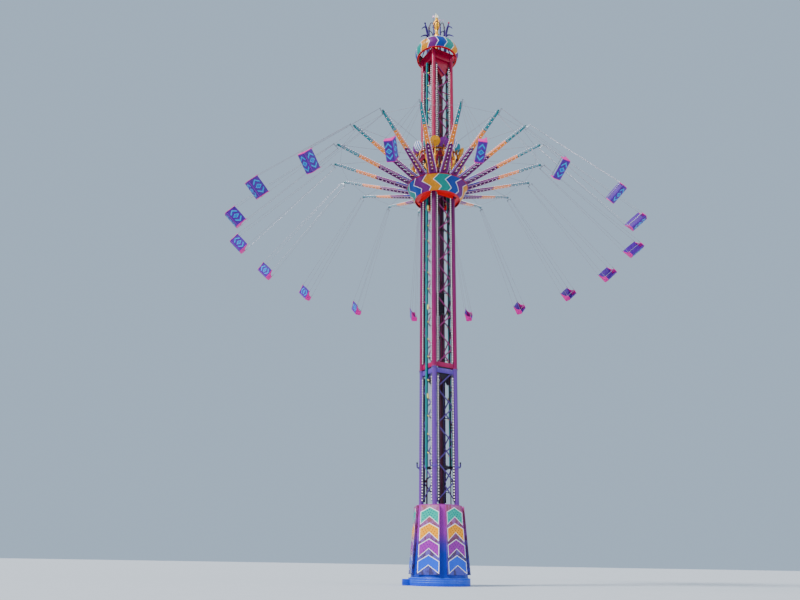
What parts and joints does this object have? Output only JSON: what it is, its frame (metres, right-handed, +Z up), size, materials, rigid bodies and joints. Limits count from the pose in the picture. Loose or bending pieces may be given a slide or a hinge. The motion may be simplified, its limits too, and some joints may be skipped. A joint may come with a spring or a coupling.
{
  "type": "chair swing ride, scale model at 1:2",
  "caption": "Tower swing ride: a lattice tower, a climbing carriage with a turning hub, and double seats hung on cables from its arms.",
  "frame": {"origin": "The middle of the underside of the base plate, where the tower is bolted down.", "axes": "+Z is up along the tower. The four faces of the tower look along +X, -X, +Y and -Y, with the guide rails on the two X faces. Arm 1 points along -Y, and the others follow every 20 degrees towards +X."},
  "size_m": [13.9677, 13.6654, 21],
  "materials": {
    "base_paint": "deep blue gloss enamel",
    "skirt_panels": "glossy panels fading from pink-purple to blue, with rows of chevrons",
    "tower_paint": "gloss paint, crimson and magenta above, lavender in the lower section",
    "bracing_paint": "gloss paint, plum and lavender",
    "rail_paint": "teal gloss paint",
    "landing_paint": "lavender gloss paint",
    "head_paint": "crimson gloss paint",
    "crown_panels": "glossy coloured chevron panels with white edges",
    "figure_paint": "indigo gloss paint",
    "gold_finish": "gold leaf over cast ornament",
    "dark_steel": "dark grey paint",
    "counterweight_iron": "dark painted iron blocks",
    "carriage_paint": "bright red gloss paint",
    "hub_panels": "glittering zigzag panels in orange, green, blue and purple, with white edges",
    "steel_cable": "galvanised steel rope",
    "arm_paint": "gloss paint in bands of blue, purple, orange and teal",
    "seat_shell": "blue and purple moulded shell with pink sides"
  },
  "bodies": {
    "tower": {"base_plate": "base_paint", "base_skirt": "skirt_panels", "column_front_left": "tower_paint", "column_front_right": "tower_paint", "column_rear_right": "tower_paint", "column_rear_left": "tower_paint", "bracing_front": "bracing_paint", "bracing_right": "bracing_paint", "bracing_rear": "bracing_paint", "bracing_left": "bracing_paint", "guide_rail_right": "rail_paint", "guide_rail_left": "rail_paint", "landing_frame": "landing_paint", "head_frame": "head_paint", "crown_band": "crown_panels", "crown_figures": "figure_paint", "gold_spire": "gold_finish", "counterweight_guide_right": "dark_steel", "counterweight_guide_left": "dark_steel"},
    "counterweight": {"counterweight": "counterweight_iron"},
    "carriage": {"carriage_frame": "carriage_paint"},
    "carousel": {"hub_band": "hub_panels", "ornament_ring": "gold_finish", "stay_cables": "steel_cable", "arm_01": "arm_paint", "arm_02": "arm_paint", "arm_03": "arm_paint", "arm_04": "arm_paint", "arm_05": "arm_paint", "arm_06": "arm_paint", "arm_07": "arm_paint", "arm_08": "arm_paint", "arm_09": "arm_paint", "arm_10": "arm_paint", "arm_11": "arm_paint", "arm_12": "arm_paint", "arm_13": "arm_paint", "arm_14": "arm_paint", "arm_15": "arm_paint", "arm_16": "arm_paint", "arm_17": "arm_paint", "arm_18": "arm_paint"},
    "chair_01": {"chair_01": "seat_shell"},
    "chair_02": {"chair_02": "seat_shell"},
    "chair_03": {"chair_03": "seat_shell"},
    "chair_04": {"chair_04": "seat_shell"},
    "chair_05": {"chair_05": "seat_shell"},
    "chair_06": {"chair_06": "seat_shell"},
    "chair_07": {"chair_07": "seat_shell"},
    "chair_08": {"chair_08": "seat_shell"},
    "chair_09": {"chair_09": "seat_shell"},
    "chair_10": {"chair_10": "seat_shell"},
    "chair_11": {"chair_11": "seat_shell"},
    "chair_12": {"chair_12": "seat_shell"},
    "chair_13": {"chair_13": "seat_shell"},
    "chair_14": {"chair_14": "seat_shell"},
    "chair_15": {"chair_15": "seat_shell"},
    "chair_16": {"chair_16": "seat_shell"},
    "chair_17": {"chair_17": "seat_shell"},
    "chair_18": {"chair_18": "seat_shell"}
  },
  "joints": [
    {"name": "carriage_lift", "type": "slide", "parent": "tower", "child": "carriage", "axis": [0, 0, 1], "range_m": [-9.1, 3]},
    {"name": "counterweight_travel", "type": "slide", "parent": "tower", "child": "counterweight", "axis": [0, 0, 1], "range_m": [-3, 9.1]},
    {"name": "carousel_spin", "type": "hinge", "parent": "carriage", "child": "carousel", "pos_m": [0, 0, 13.04], "axis": [0, 0, 1], "continuous": true},
    {"name": "chair_swing_01", "type": "hinge", "parent": "carousel", "child": "chair_01", "pos_m": [0, -3.691, 14.037], "axis": [-1, 0, 0], "range_deg": [-37.1, 12.9]},
    {"name": "chair_swing_02", "type": "hinge", "parent": "carousel", "child": "chair_02", "pos_m": [1.2624, -3.46841, 14.037], "axis": [-0.9397, -0.342, 0], "range_deg": [-38.3, 11.7]},
    {"name": "chair_swing_03", "type": "hinge", "parent": "carousel", "child": "chair_03", "pos_m": [2.37253, -2.82747, 14.037], "axis": [-0.766, -0.6428, 0], "range_deg": [-38.5, 11.5]},
    {"name": "chair_swing_04", "type": "hinge", "parent": "carousel", "child": "chair_04", "pos_m": [3.1965, -1.8455, 14.037], "axis": [-0.5, -0.866, 0], "range_deg": [-40.5, 9.5]},
    {"name": "chair_swing_05", "type": "hinge", "parent": "carousel", "child": "chair_05", "pos_m": [3.63492, -0.64094, 14.037], "axis": [-0.1736, -0.9848, 0], "range_deg": [-42.5, 7.5]},
    {"name": "chair_swing_06", "type": "hinge", "parent": "carousel", "child": "chair_06", "pos_m": [3.63492, 0.64094, 14.037], "axis": [0.1736, -0.9848, 0], "range_deg": [-40.3, 9.7]},
    {"name": "chair_swing_07", "type": "hinge", "parent": "carousel", "child": "chair_07", "pos_m": [3.1965, 1.8455, 14.037], "axis": [0.5, -0.866, 0], "range_deg": [-39.8, 10.2]},
    {"name": "chair_swing_08", "type": "hinge", "parent": "carousel", "child": "chair_08", "pos_m": [2.37253, 2.82747, 14.037], "axis": [0.766, -0.6428, 0], "range_deg": [-39, 11]},
    {"name": "chair_swing_09", "type": "hinge", "parent": "carousel", "child": "chair_09", "pos_m": [1.2624, 3.46841, 14.037], "axis": [0.9397, -0.342, 0], "range_deg": [-40.3, 9.7]},
    {"name": "chair_swing_10", "type": "hinge", "parent": "carousel", "child": "chair_10", "pos_m": [0, 3.691, 14.037], "axis": [1, 0, 0], "range_deg": [-40.3, 9.7]},
    {"name": "chair_swing_11", "type": "hinge", "parent": "carousel", "child": "chair_11", "pos_m": [-1.2624, 3.46841, 14.037], "axis": [0.9397, 0.342, 0], "range_deg": [-42, 8]},
    {"name": "chair_swing_12", "type": "hinge", "parent": "carousel", "child": "chair_12", "pos_m": [-2.37253, 2.82747, 14.037], "axis": [0.766, 0.6428, 0], "range_deg": [-44.3, 5.7]},
    {"name": "chair_swing_13", "type": "hinge", "parent": "carousel", "child": "chair_13", "pos_m": [-3.1965, 1.8455, 14.037], "axis": [0.5, 0.866, 0], "range_deg": [-46, 4]},
    {"name": "chair_swing_14", "type": "hinge", "parent": "carousel", "child": "chair_14", "pos_m": [-3.63492, 0.64094, 14.037], "axis": [0.1736, 0.9848, 0], "range_deg": [-44.2, 5.8]},
    {"name": "chair_swing_15", "type": "hinge", "parent": "carousel", "child": "chair_15", "pos_m": [-3.63492, -0.64094, 14.037], "axis": [-0.1736, 0.9848, 0], "range_deg": [-42.6, 7.4]},
    {"name": "chair_swing_16", "type": "hinge", "parent": "carousel", "child": "chair_16", "pos_m": [-3.1965, -1.8455, 14.037], "axis": [-0.5, 0.866, 0], "range_deg": [-41.1, 8.9]},
    {"name": "chair_swing_17", "type": "hinge", "parent": "carousel", "child": "chair_17", "pos_m": [-2.37253, -2.82747, 14.037], "axis": [-0.766, 0.6428, 0], "range_deg": [-38.7, 11.3]},
    {"name": "chair_swing_18", "type": "hinge", "parent": "carousel", "child": "chair_18", "pos_m": [-1.2624, -3.46841, 14.037], "axis": [-0.9397, 0.342, 0], "range_deg": [-37.8, 12.2]}
  ],
  "couplings": [
    {"joint": "counterweight_travel", "follows": "carriage_lift", "ratio": -1}
  ]
}
